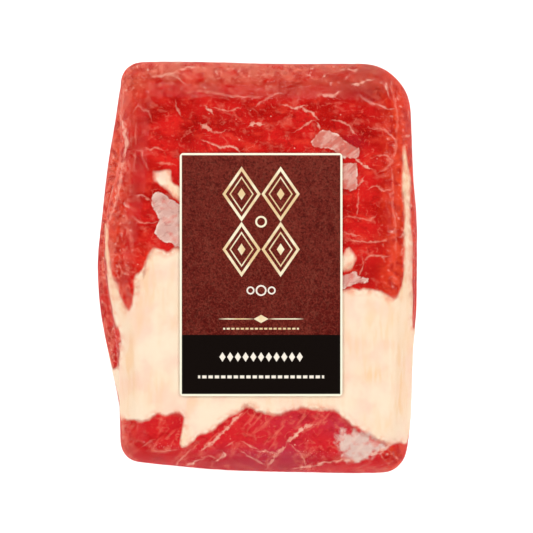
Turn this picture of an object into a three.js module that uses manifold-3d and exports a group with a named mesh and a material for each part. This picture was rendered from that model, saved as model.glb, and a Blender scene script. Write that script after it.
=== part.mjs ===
// A boneless ribeye roast, vacuum packed in clear film that lies skin tight on it, resting on its flat underside
// with a paper label on its upper face. It is a short block of two muscles, one lying on the other, and the seam
// of fat between them runs round the sides as a shallow groove. Sizes are in millimetres. +X runs across the
// block, +Y along it towards its far end and +Z up. The origin is the middle of the underside.
import * as THREE from 'three';
import { mergeVertices } from 'three/addons/utils/BufferGeometryUtils.js';
import Module from 'manifold-3d';

const { clamp, lerp, smoothstep } = THREE.MathUtils;

// The block as a whole
const MEAT_HEIGHT = 73;
const HALF_WIDTH = 80;
const HALF_LENGTH = 102;
const BASE_CUT = 2; // how much of the rounded underside the flat takes away
const CROWN = { across: 2.4, along: 2 }; // how far the upper face falls from its middle to its edges

// Distances from the middle lines to the edges, as seen from above, at even steps from the far end to the near
// end, or from the left side to the right. The lower muscle reaches further out than the upper one, in two lobes
// on the left and in a long one on the right.
const UPPER_MUSCLE = {
  left: smoothEdge([68.5, 68, 68.8, 74.4, 76.2, 72.6, 69.2, 68.5, 68]),
  right: smoothEdge([75.4, 76.7, 77.6, 78.7, 78.6, 78.3, 77.4, 76.4, 73.6]),
  far: smoothEdge([102.2, 102.6, 102.4, 101.8, 101.6, 101.6, 101.6]),
  near: smoothEdge([96.4, 98.6, 100.8, 101.8, 102.2, 102.6, 102.2]),
};
const LOWER_MUSCLE = {
  left: smoothEdge([68.2, 71.2, 75.2, 78, 80.4, 79, 74.4, 69.3, 67.8]),
  right: smoothEdge([74.6, 76.8, 78.2, 80.4, 80.6, 80.2, 77.9, 76.6, 73.2]),
  far: smoothEdge([100.6, 101, 101.2, 101, 100.8, 100.4, 100.2]),
  near: smoothEdge([95.6, 97.8, 99.8, 100.6, 100.8, 100.8, 100.4]),
};
const CORNER_RADIUS = { farLeft: 11, farRight: 23, nearRight: 11, nearLeft: 9 };

// How the faces round into the sides: how far in the rounding starts, and how far up or down it ends
const UPPER_ROUND = {
  run: { left: 15, right: 12, far: 20, near: 11 },
  drop: { left: 20, right: 22, far: 28, near: 18 },
};
const LOWER_ROUND = {
  run: { left: 12, right: 10, far: 12, near: 9 },
  drop: { left: 16, right: 15, far: 18, near: 14 },
};

// The seam of fat between the two muscles
const SEAM_HEIGHT = { left: 36, right: 31, far: 34, near: 33 };
const SEAM_DEPTH = { left: 2, right: 1.8, far: 1, near: 1 };
const SEAM_WIDTH = 4.6;
const SEAM_SWAY = { height: 2.2, waves: 5 };
const SEAM_STEP = 14; // the height over which the lower muscle comes out from under the upper one
const SIDE_BULGE = 1.6; // how far each muscle swells between the seam and its rounding

// Furrows pressed into the upper face where muscle and fat meet
const FURROWS = [
  { run: [[-60, 96], [-57, 76], [-58, 50], [-63, 26], [-61, 2], [-59, -20]], width: 4, depth: 1 },
  { run: [[66, 92], [69, 66], [67, 50], [68, 24], [70, 0], [70, -16]], width: 3.6, depth: 1.1 },
  { run: [[-63, -22], [-58, -12], [-53, 1], [-47, 9], [-41, 11]], width: 3.4, depth: 0.7 },
  { run: [[42, -13], [52, -14], [61, -16], [68, -15]], width: 3.4, depth: 0.7 },
  { run: [[-68, -76], [-56, -75], [-40, -73], [-37, -86], [-24, -82], [-8, -70]], width: 3.8, depth: 1 },
  { run: [[-8, -70], [14, -74], [32, -71], [44, -78], [56, -86], [74, -87]], width: 3.8, depth: 1 },
];
// Swells of the soft meat between them
const SWELLS = [
  { at: [-50, 34], reach: 20, height: 0.9 },
  { at: [56, 30], reach: 22, height: 0.9 },
  { at: [4, 78], reach: 30, height: 0.8 },
  { at: [-54, -42], reach: 24, height: 0.8 },
  { at: [58, -50], reach: 24, height: 0.9 },
  { at: [-50, -88], reach: 13, height: 0.9 },
  { at: [22, -88], reach: 18, height: 0.9 },
];

// The label: a paper rectangle with rounded corners that follows the upper face
const LABEL = { width: 80, length: 119.5, x: 2, y: -3.7, corner: 1.8, thickness: 0.4, gap: 0.3 };
const LABEL_MARGIN = 12; // how far out from the label the upper face stays pressed smooth
const LABEL_CELLS = { across: 12, along: 18 };

// Cells of the block, the share of its faces inside their rounding, and the shares of its sides' cells that the
// upper and the lower rounding take
const CELLS = { across: 38, along: 46, up: 18 };
const FACE_SHARE = 0.84;
const UPPER_SHARE = 0.26;
const LOWER_SHARE = 0.18;

// A smooth edge through distances at even steps, from one corner (0) to the next (1).
function smoothEdge(distances) {
  const curve = new THREE.SplineCurve(distances.map((distance, step) => new THREE.Vector2(step, distance)));
  return (share) => curve.getPoint(share).y;
}

// One value for each side of the block, blended round its corners. (u, v) is a point on the unit square's edge.
function around(values, u, v) {
  const sideWeight = u ** 4;
  const endWeight = v ** 4;
  const side = u < 0 ? values.left : values.right;
  const end = v < 0 ? values.near : values.far;
  return (side * sideWeight + end * endWeight) / (sideWeight + endWeight);
}

// Pulls a point that lies in a sharp corner in to the arc that rounds it.
function roundCorner(point, corner, radius) {
  const dx = (Math.abs(point.x) - Math.abs(corner.x)) / radius + 1;
  const dy = (Math.abs(point.y) - Math.abs(corner.y)) / radius + 1;
  if (dx <= 0 || dy <= 0) return point;
  const pull = Math.max(dx, dy) / Math.hypot(dx, dy);
  return new THREE.Vector2(
    Math.sign(point.x) * (Math.abs(corner.x) + radius * (dx * pull - 1)),
    Math.sign(point.y) * (Math.abs(corner.y) + radius * (dy * pull - 1)),
  );
}

// A muscle's outline from above, at the point (u, v) of the unit square's edge, less the swell of its side.
function outline(muscle, u, v) {
  const across = (1 + u) / 2;
  const along = (1 - v) / 2;
  const point = new THREE.Vector2(
    lerp(-muscle.left(along), muscle.right(along), across),
    lerp(muscle.far(across), -muscle.near(across), along),
  );
  const atRight = u < 0 ? 0 : 1;
  const atNear = v < 0 ? 1 : 0;
  const corner = new THREE.Vector2(
    u < 0 ? -muscle.left(atNear) : muscle.right(atNear),
    v < 0 ? -muscle.near(atRight) : muscle.far(atRight),
  );
  const radius = CORNER_RADIUS[(v < 0 ? 'near' : 'far') + (u < 0 ? 'Left' : 'Right')];
  const rounded = roundCorner(point, corner, radius);
  return rounded.setLength(rounded.length() - SIDE_BULGE);
}

// A muscle's outline part of the way round from its face (turn 0) to its side (turn 90 degrees).
function turnedOutline(muscle, round, u, v, turn) {
  const share = 1 - Math.sin(turn);
  const acrossRun = u < 0 ? round.run.left : round.run.right;
  const alongRun = v < 0 ? round.run.near : round.run.far;
  const point = outline(muscle, u, v);
  return point.set(point.x * (1 - (share * acrossRun) / HALF_WIDTH), point.y * (1 - (share * alongRun) / HALF_LENGTH));
}

const furrowCurves = FURROWS.map(({ run, width, depth }) => {
  const curve = new THREE.SplineCurve(run.map(([x, y]) => new THREE.Vector2(x, y)));
  return { points: curve.getSpacedPoints(50), width, depth };
});

// The height of the upper face: its crown, with furrows and swells wherever the label doesn't press it smooth.
function upperHeight(place) {
  const crown = CROWN.across * (place.x / HALF_WIDTH) ** 2 + CROWN.along * (place.y / HALF_LENGTH) ** 2;
  const aside = Math.max(0, Math.abs(place.x - LABEL.x) - LABEL.width / 2);
  const beyond = Math.max(0, Math.abs(place.y - LABEL.y) - LABEL.length / 2);
  let relief = 0;
  for (const { points, width, depth } of furrowCurves) {
    const distance = Math.min(...points.map((point) => point.distanceTo(place)));
    relief -= depth * Math.exp(-((distance / width) ** 2));
  }
  for (const { at: [x, y], reach, height } of SWELLS) {
    relief += height * Math.exp(-((Math.hypot(place.x - x, place.y - y) / reach) ** 2));
  }
  return MEAT_HEIGHT - crown + relief * smoothstep(Math.hypot(aside, beyond), 1, LABEL_MARGIN);
}

// A point on the upper face or the half of its rounding that belongs to it. ring is 0 in the middle, 1 at the rim.
function upperPoint(u, v, ring) {
  const turn = (Math.max(0, ring - FACE_SHARE) / (1 - FACE_SHARE)) * (Math.PI / 4);
  const place = turnedOutline(UPPER_MUSCLE, UPPER_ROUND, u, v, turn).multiplyScalar(Math.min(1, ring / FACE_SHARE));
  const drop = around(UPPER_ROUND.drop, u, v) * (1 - Math.cos(turn));
  return new THREE.Vector3(place.x, place.y, upperHeight(place) - drop);
}

// The same for the underside.
function lowerPoint(u, v, ring) {
  const turn = (Math.max(0, ring - FACE_SHARE) / (1 - FACE_SHARE)) * (Math.PI / 4);
  const place = turnedOutline(LOWER_MUSCLE, LOWER_ROUND, u, v, turn).multiplyScalar(Math.min(1, ring / FACE_SHARE));
  const rise = around(LOWER_ROUND.drop, u, v) * (1 - Math.cos(turn));
  return new THREE.Vector3(place.x, place.y, rise - BASE_CUT);
}

// A point on the side of the block, down from the upper face's rim (0) to the underside's rim (1).
function sidePoint(u, v, down) {
  const upperTurn = (Math.PI / 4) * (1 + Math.min(1, down / UPPER_SHARE));
  const lowerTurn = (Math.PI / 4) * (1 + Math.min(1, (1 - down) / LOWER_SHARE));
  const upperDrop = around(UPPER_ROUND.drop, u, v);
  const lowerDrop = around(LOWER_ROUND.drop, u, v);
  const top = upperPoint(u, v, 1).z;
  const bottom = lowerPoint(u, v, 1).z;
  const wall = clamp((down - UPPER_SHARE) / (1 - UPPER_SHARE - LOWER_SHARE), 0, 1);
  const wallTop = top - upperDrop * Math.SQRT1_2;
  const wallBottom = bottom + lowerDrop * Math.SQRT1_2;
  const z = lerp(wallTop, wallBottom, wall) + upperDrop * Math.cos(upperTurn) - lowerDrop * Math.cos(lowerTurn);

  const seam = around(SEAM_HEIGHT, u, v) + SEAM_SWAY.height * Math.sin(SEAM_SWAY.waves * Math.atan2(v, u));
  const upper = turnedOutline(UPPER_MUSCLE, UPPER_ROUND, u, v, upperTurn);
  const lower = turnedOutline(LOWER_MUSCLE, LOWER_ROUND, u, v, lowerTurn);
  const place = upper.lerp(lower, smoothstep(seam - z, -SEAM_STEP * 0.3, SEAM_STEP * 0.7));
  const fromSeam = z > seam ? (z - seam) / (top - seam) : (seam - z) / (seam - bottom);
  const bulge = SIDE_BULGE * Math.sin(Math.PI * fromSeam) ** 2;
  const groove = around(SEAM_DEPTH, u, v) * Math.exp(-(((z - seam) / SEAM_WIDTH) ** 2));
  place.addScaledVector(place.clone().normalize(), bulge - groove);
  return new THREE.Vector3(place.x, place.y, z);
}

// The block: a box of cells whose points are moved onto the shape above.
function meatGeometry() {
  const box = new THREE.BoxGeometry(2, 2, 2, CELLS.across, CELLS.along, CELLS.up);
  const position = box.attributes.position;
  const corner = new THREE.Vector3();
  for (let i = 0; i < position.count; i++) {
    corner.fromBufferAttribute(position, i);
    const ring = Math.max(Math.abs(corner.x), Math.abs(corner.y));
    const [u, v] = ring > 0 ? [corner.x / ring, corner.y / ring] : [1, 0];
    let point = sidePoint(u, v, (1 - corner.z) / 2);
    if (corner.z > 1 - 1e-6) point = upperPoint(u, v, ring);
    if (corner.z < -1 + 1e-6) point = lowerPoint(u, v, ring);
    position.setXYZ(i, point.x, point.y, point.z);
  }
  return box;
}

// The label's outline, as a solid tall enough to cut it from a bent sheet.
function labelCutter() {
  const { width, length, corner } = LABEL;
  const [right, top] = [width / 2, length / 2];
  const shape = new THREE.Shape();
  shape.moveTo(-right + corner, -top);
  shape.lineTo(right - corner, -top);
  shape.absarc(right - corner, -top + corner, corner, -Math.PI / 2, 0);
  shape.lineTo(right, top - corner);
  shape.absarc(right - corner, top - corner, corner, 0, Math.PI / 2);
  shape.lineTo(-right + corner, top);
  shape.absarc(-right + corner, top - corner, corner, Math.PI / 2, Math.PI);
  shape.lineTo(-right, -top + corner);
  shape.absarc(-right + corner, -top + corner, corner, Math.PI, 1.5 * Math.PI);
  const cutter = new THREE.ExtrudeGeometry(shape, { depth: MEAT_HEIGHT, bevelEnabled: false, curveSegments: 5 });
  return cutter.translate(LABEL.x, LABEL.y, MEAT_HEIGHT / 2);
}

// A sheet a little larger than the label, bent to lie over the upper face.
function labelSheet() {
  const { width, length, thickness, gap } = LABEL;
  const sheet = new THREE.BoxGeometry(width + 4, length + 4, thickness, LABEL_CELLS.across, LABEL_CELLS.along, 1);
  sheet.translate(LABEL.x, LABEL.y, thickness / 2 + gap);
  const position = sheet.attributes.position;
  for (let i = 0; i < position.count; i++) {
    const place = new THREE.Vector2(position.getX(i), position.getY(i));
    position.setZ(i, position.getZ(i) + upperHeight(place));
  }
  return sheet;
}

const wasm = await Module();
wasm.setup();

function toSolid(geometry) {
  geometry.deleteAttribute('normal');
  geometry.deleteAttribute('uv');
  const merged = mergeVertices(geometry, 1e-4);
  return new wasm.Manifold(new wasm.Mesh({
    numProp: 3,
    vertProperties: new Float32Array(merged.attributes.position.array),
    triVerts: new Uint32Array(merged.index.array),
  }));
}

function toMesh(solid, name, material) {
  const { vertProperties, triVerts } = solid.getMesh();
  const geometry = new THREE.BufferGeometry();
  geometry.setAttribute('position', new THREE.BufferAttribute(new Float32Array(vertProperties), 3));
  geometry.setIndex(new THREE.BufferAttribute(new Uint32Array(triVerts), 1));
  geometry.computeVertexNormals();
  const mesh = new THREE.Mesh(geometry, material);
  mesh.name = name;
  return mesh;
}

const underFloor = new THREE.BoxGeometry(4 * HALF_WIDTH, 4 * HALF_LENGTH, 20).translate(0, 0, -10);
const meat = toSolid(meatGeometry()).subtract(toSolid(underFloor));
const label = toSolid(labelSheet()).intersect(toSolid(labelCutter()));

const group = new THREE.Group();
group.add(
  toMesh(meat, 'meat', new THREE.MeshStandardMaterial({ color: '#c23a34', roughness: 0.35 })),
  toMesh(label, 'label', new THREE.MeshStandardMaterial({ color: '#5e2019', roughness: 0.5 })),
);

// The middle of the whole, as seen from above, goes to the origin.
const bounds = new THREE.Box3().setFromObject(group);
const middle = bounds.getCenter(new THREE.Vector3());
for (const { geometry } of group.children) geometry.translate(-middle.x, -middle.y, 0);

export default group;
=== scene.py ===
"""A vacuum packed ribeye roast with a paper label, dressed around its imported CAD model.

The block of meat lies flat with the label up. +X runs across it, +Y along it to its far end and +Z up.
Blender works in metres. Sizes are in millimetres where a name, comment or docstring says so.
"""

import logging
import math
from dataclasses import dataclass, replace
from enum import Enum
from typing import Any

import bmesh
import bpy
import numpy as np
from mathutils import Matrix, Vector, noise


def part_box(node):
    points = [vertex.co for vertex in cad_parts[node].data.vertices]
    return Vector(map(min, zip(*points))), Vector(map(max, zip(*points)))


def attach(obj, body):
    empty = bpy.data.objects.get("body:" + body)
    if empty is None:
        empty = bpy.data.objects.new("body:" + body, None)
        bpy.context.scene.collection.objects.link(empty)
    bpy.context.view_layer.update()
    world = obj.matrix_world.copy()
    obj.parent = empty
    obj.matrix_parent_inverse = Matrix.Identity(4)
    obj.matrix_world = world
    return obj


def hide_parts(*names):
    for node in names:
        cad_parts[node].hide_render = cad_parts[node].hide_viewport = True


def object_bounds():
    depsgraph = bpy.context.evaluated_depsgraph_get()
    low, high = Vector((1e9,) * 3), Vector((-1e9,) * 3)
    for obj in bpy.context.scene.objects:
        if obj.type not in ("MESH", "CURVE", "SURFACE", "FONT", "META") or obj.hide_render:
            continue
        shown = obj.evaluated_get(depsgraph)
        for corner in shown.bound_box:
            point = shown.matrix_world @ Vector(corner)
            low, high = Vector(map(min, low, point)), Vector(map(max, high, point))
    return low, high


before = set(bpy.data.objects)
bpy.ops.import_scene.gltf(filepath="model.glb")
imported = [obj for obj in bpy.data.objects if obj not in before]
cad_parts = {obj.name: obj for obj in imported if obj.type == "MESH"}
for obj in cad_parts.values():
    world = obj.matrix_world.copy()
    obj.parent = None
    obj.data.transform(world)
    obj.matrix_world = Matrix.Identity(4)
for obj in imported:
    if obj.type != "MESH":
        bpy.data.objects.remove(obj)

CAD_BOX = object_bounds()
MM = 0.001
BODY = "root"
MERGE_GAP = 0.001 * MM
FLAT_BOTTOM = -0.999  # the upward part of a normal, below which a face belongs to the flat underside
DRAW_STEP = 31.7  # how far apart two patterns of lumps are read from the same noise
FAR_OUTSIDE = -50.0  # a depth, in millimetres, for a point that no outline or vein reaches
WHITE = "#ffffff"
Place = tuple[float, float]
Thing = bpy.types.Object
Feed = bpy.types.Node | bpy.types.NodeSocket


# Helpers for meshes


def deselect() -> None:
    """Deselects every object, so that an operator acts on what is chosen next."""
    if bpy.context.object and bpy.context.object.mode != "OBJECT":
        bpy.ops.object.mode_set(mode="OBJECT")
    bpy.ops.object.select_all(action="DESELECT")


def choose(obj: Thing) -> None:
    """Makes one object the only selected and active one."""
    deselect()
    obj.select_set(True)
    bpy.context.view_layer.objects.active = obj


def apply_modifier(obj: Thing, kind: str, **settings: Any) -> None:
    """Adds a modifier to an object and applies it.

    Args:
        obj: the object.
        kind: the modifier's type, as Blender names it.
        settings: the modifier's properties.
    """
    choose(obj)
    modifier = obj.modifiers.new(kind.title(), kind)
    for name, value in settings.items():
        setattr(modifier, name, value)
    bpy.ops.object.modifier_apply(modifier=modifier.name)


def dress(obj: Thing, material: bpy.types.Material) -> None:
    """Gives an object one material in place of those it has."""
    obj.data.materials.clear()
    obj.data.materials.append(material)


def points_of(obj: Thing) -> np.ndarray:
    """Reads a mesh's points, one row each, in millimetres."""
    flat = np.empty(len(obj.data.vertices) * 3)
    obj.data.vertices.foreach_get("co", flat)
    return flat.reshape(-1, 3) / MM


def normals_of(obj: Thing) -> np.ndarray:
    """Reads the outward direction at each of a mesh's points."""
    flat = np.empty(len(obj.data.vertices) * 3)
    obj.data.vertex_normals.foreach_get("vector", flat)
    return flat.reshape(-1, 3)


def move_points(obj: Thing, points: np.ndarray) -> None:
    """Puts a mesh's points in new places, given in millimetres."""
    obj.data.vertices.foreach_set("co", (points * MM).ravel())
    obj.data.update()


def store(obj: Thing, name: str, values: np.ndarray) -> None:
    """Keeps one number, or three, for each point of a mesh, for its material to read.

    Args:
        obj: the object.
        name: the attribute's name.
        values: one row or number for each point.
    """
    kind, field = ("FLOAT", "value") if values.ndim == 1 else ("FLOAT_VECTOR", "vector")
    attribute = obj.data.attributes.new(name, kind, "POINT")
    attribute.data.foreach_set(field, values.astype(np.float32).ravel())


def lumps(points: np.ndarray, size: float, draw: int) -> np.ndarray:
    """Draws smooth noise at each point.

    Args:
        points: the points, in millimetres.
        size: the width of one lump, in millimetres.
        draw: which of many such patterns it is.

    Returns:
        A number from about -1 to 1 for each point.
    """
    return np.array([noise.noise(point) for point in points / size + DRAW_STEP * draw])


def ease(values: np.ndarray, start: float, end: float) -> np.ndarray:
    """Rises smoothly from 0 at one value to 1 at another."""
    share = np.clip((values - start) / (end - start), 0, 1)
    return share * share * (3 - 2 * share)


def soften(points: list[Place], closed: bool) -> np.ndarray:
    """Cuts the corners off a line twice, which leaves a smooth curve.

    Args:
        points: the line's points, in millimetres.
        closed: True if the line ends where it starts.

    Returns:
        The points of the smooth curve.
    """
    line = np.array(points, float)
    for _ in range(2):
        after = np.roll(line, -1, axis=0)
        cut = np.stack([0.75 * line + 0.25 * after, 0.25 * line + 0.75 * after], axis=1)
        if closed:
            line = cut.reshape(-1, 2)
        else:
            line = np.vstack([line[:1], cut[:-1].reshape(-1, 2), line[-1:]])
    return line


def beside(places: np.ndarray, start: np.ndarray, side: np.ndarray) -> tuple[np.ndarray, np.ndarray]:
    """Finds where each place lies beside a straight piece of a line.

    Args:
        places: one (x, y) row for each place.
        start: where the piece starts.
        side: the way from its start to its end.

    Returns:
        How far along the piece its nearest point is, from 0 to 1, and the way from there to each place.
    """
    share = np.clip((places - start) @ side / (side @ side), 0, 1)
    return share, places - start - share[:, None] * side


def depth_inside(points: list[Place], places: np.ndarray) -> np.ndarray:
    """Measures how far inside a closed outline each place lies.

    Args:
        points: the outline's points, in millimetres.
        places: one (x, y) row for each place.

    Returns:
        The distance to the outline, positive inside it and negative outside.
    """
    outline = soften(points, closed=True)
    nearest = np.full(len(places), np.inf)
    inside = np.zeros(len(places), bool)
    for start, end in zip(outline, np.roll(outline, -1, axis=0)):
        side = end - start
        nearest = np.minimum(nearest, np.hypot(*beside(places, start, side)[1].T))
        if start[1] != end[1]:
            level = (start[1] > places[:, 1]) != (end[1] > places[:, 1])
            inside ^= level & (places[:, 0] < start[0] + (places[:, 1] - start[1]) * side[0] / side[1])
    return np.where(inside, nearest, -nearest)


# The map of the upper face: where fat, sinew, veins and tints lie, in millimetres from the middle


@dataclass(frozen=True)
class Vein:
    """A vein of fat or of painted shade: its run, half its width in the middle, and how white it is, from 0
    to 1.
    """

    run: list[Place]
    width: float = 0.7
    white: float = 1.0


@dataclass(frozen=True)
class Skin:
    """A piece of sinew on the muscle: its outline, how grey it is, and half the width of its soft edge."""

    outline: list[Place]
    grey: float
    blur: float


@dataclass(frozen=True)
class Spot:
    """A soft-edged patch: its middle, how far it reaches each way, and how strong it is."""

    at: Place
    reach: Place
    strength: float

    def over(self, places: np.ndarray) -> np.ndarray:
        """Gives the patch's strength at each place."""
        away = (places - np.array(self.at)) / np.array(self.reach)
        return self.strength * np.exp(-(away**2).sum(axis=1))


FAT_BAND: list[Place] = [
    (-76, 21), (-75, 1), (-73.5, -11), (-72.5, -18), (-71, -27), (-68.5, -32), (-67.8, -38), (-68.2, -43),
    (-69.5, -49), (-71, -52), (-130, -52), (-130, -75.5), (-66.5, -75.3), (-62.4, -75.5), (-57.8, -76.8),
    (-53.8, -75.5), (-49.8, -72.5), (-47.3, -73), (-44.3, -74.3), (-40.3, -72.5), (-37.3, -72.5),
    (-36, -74), (-36.5, -79), (-36.5, -84), (-37.3, -87.6), (-34.3, -88), (-32.3, -86), (-29.2, -83.5),
    (-25.2, -82.5), (-20.2, -79), (-16.2, -75), (-12.2, -73), (-8.7, -70.4), (-5.7, -68.5), (-2.2, -69),
    (0.4, -71), (6, -72), (11.4, -73), (14.4, -71.2), (17.4, -70), (21.4, -69.5), (27.4, -69.5),
    (33.5, -69.8), (39.5, -71.7), (43.5, -74.5), (46, -77.6), (49.5, -78.6), (51.5, -80), (55.4, -82.5),
    (61.6, -85.4), (64.6, -88.4), (68.5, -86.5), (73, -87), (130, -87), (130, -36), (77.6, -35), (77, -21),
    (76.8, -11), (76.4, 0), (76, 20.5), (75.4, 40.5), (74, 52), (73.2, 60), (72.4, 60), (72.4, 52),
    (72.4, 40.5), (72.2, 20.5), (72.2, 0), (71.9, -8), (70.6, -12), (68.6, -15.6), (64.5, -16),
    (61.8, -13.4), (59.2, -11.2), (50, -11.5), (42, -11.8), (30, -10), (-30, 8), (-37, 9.7), (-41.5, 9.5),
    (-44, 6.5), (-45.3, 7.5), (-50.3, 9), (-53.4, 8), (-54.7, 3.2), (-55.6, -0.6), (-59.3, -3.2),
    (-60.3, -7), (-60, -11.2), (-61.4, -16.6), (-62.8, -22), (-65.7, -19.8), (-67.5, -16.6), (-69.4, -11.2),
    (-72.1, -0.6), (-74, 10), (-74.5, 21),
]
FAT_FLECKS: list[list[Place]] = [
    [
        (-50.9, 46.9), (-50.5, 47), (-43.2, 47), (-42.8, 46.6), (-43.8, 43), (-42.9, 41), (-38.5, 38.6),
        (-36, 37), (-36, 34), (-38.5, 33.8), (-42, 37.2), (-46, 39.4), (-50.9, 42),
    ],
    [
        (38, 5.8), (42.1, 5.8), (44.2, 9), (45.3, 10.1), (46.9, 6.3), (48.2, 3.7), (45.8, 0.5),
        (43.1, -1.4), (38, -0.6),
    ],
]
SKINS: list[Skin] = [
    Skin([
        (-52.2, 35), (-49.2, 37.4), (-45.9, 36.2), (-44, 34), (-41.5, 33.6), (-38, 30.5), (-30, 26),
        (-30, 10), (-37, 9.8), (-41.5, 10.2), (-42.5, 12.5), (-45.5, 12), (-47.5, 13.5), (-50.6, 16.5),
        (-49, 20.7), (-48.2, 24), (-49.6, 27), (-52, 29.8),
    ], 0.75, 0.3),
    Skin([
        (26.2, 61.8), (28.7, 64.8), (30.9, 67.5), (35.7, 67.5), (37.2, 65.8), (39.9, 65.2), (43.7, 61.6),
        (49.5, 58.8), (51, 56.9), (49.6, 53.2), (45.3, 53.6), (42.1, 54.2), (39.4, 55.6), (36.2, 58.6),
        (30.9, 58.4), (27.4, 59),
    ], 0.1, 0.3),
    Skin([
        (36, 51.4), (48.8, 51.4), (49.2, 51), (49, 42), (49.8, 39.6), (47, 37.3), (43, 38.4), (36, 40.6),
    ], 0.2, 0.3),
    Skin([
        (36, -4.4), (44, -3.6), (46.9, -2.2), (48.6, -2.6), (49.4, -5.3), (54.9, -5), (54.3, -7.4),
        (48.5, -8), (44.8, -10.2), (36, -10.8),
    ], 0.5, 0.5),
    Skin([
        (41.2, -80.3), (45.1, -81.6), (49.5, -80.3), (53.9, -81.7), (61.8, -86.6), (64.3, -88.4),
        (59.3, -90.6), (56.4, -92.6), (51.5, -95.1), (45.6, -95.6), (43.6, -93.3), (39.7, -89.8),
        (38.7, -84.9),
    ], 1.0, 1.9),
]
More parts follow.
